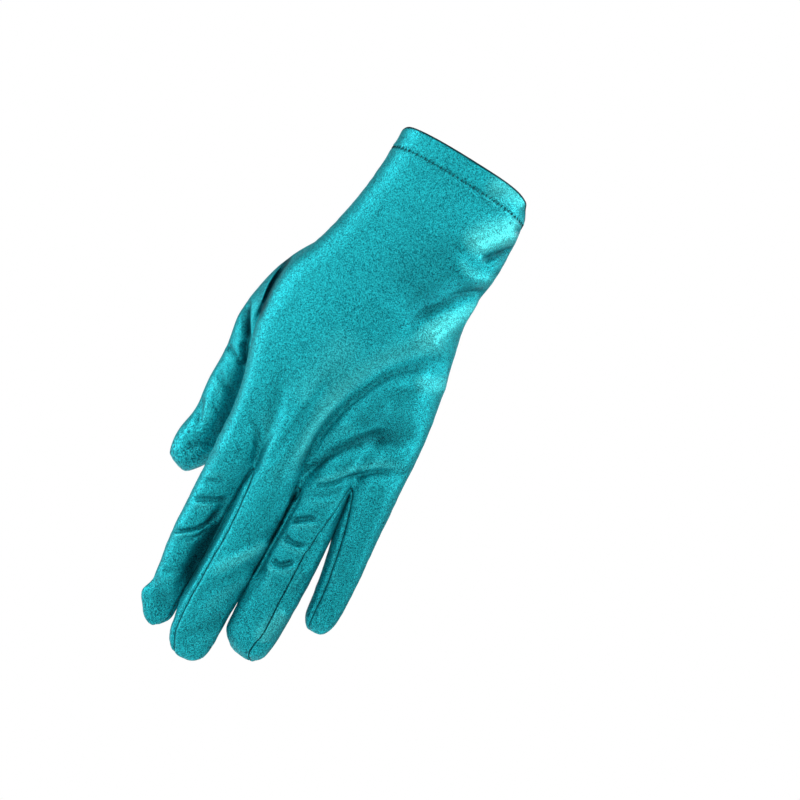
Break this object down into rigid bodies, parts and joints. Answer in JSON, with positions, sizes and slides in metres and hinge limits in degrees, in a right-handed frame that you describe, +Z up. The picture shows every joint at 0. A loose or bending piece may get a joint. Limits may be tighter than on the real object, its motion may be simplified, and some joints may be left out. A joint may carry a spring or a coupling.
{
  "type": "dress glove",
  "caption": "Wrist-length dress glove of stretch satin for the left hand, with fourchettes between the fingers, a set-in thumb and a folded wrist hem.",
  "frame": {"origin": "centre of the wrist opening, level with its top edge", "axes": "+Z up the arm, out of the wrist opening, with the fingers towards -Z; the back of the hand faces -Y and the palm +Y; the thumb is on the -X side and the little finger on the +X side"},
  "size_m": [0.0944, 0.0551, 0.2307],
  "materials": {
    "satin_back": "teal stretch satin",
    "satin_palm": "teal stretch satin",
    "satin_fourchettes": "teal stretch satin",
    "satin_thumb": "teal stretch satin",
    "satin_hem": "teal stretch satin, folded double"
  },
  "bodies": {
    "root": {"back_panel": "satin_back", "palm_panel": "satin_palm", "fourchette_index_middle": "satin_fourchettes", "fourchette_middle_ring": "satin_fourchettes", "fourchette_ring_little": "satin_fourchettes", "thumb": "satin_thumb", "cuff_hem": "satin_hem"}
  },
  "joints": []
}
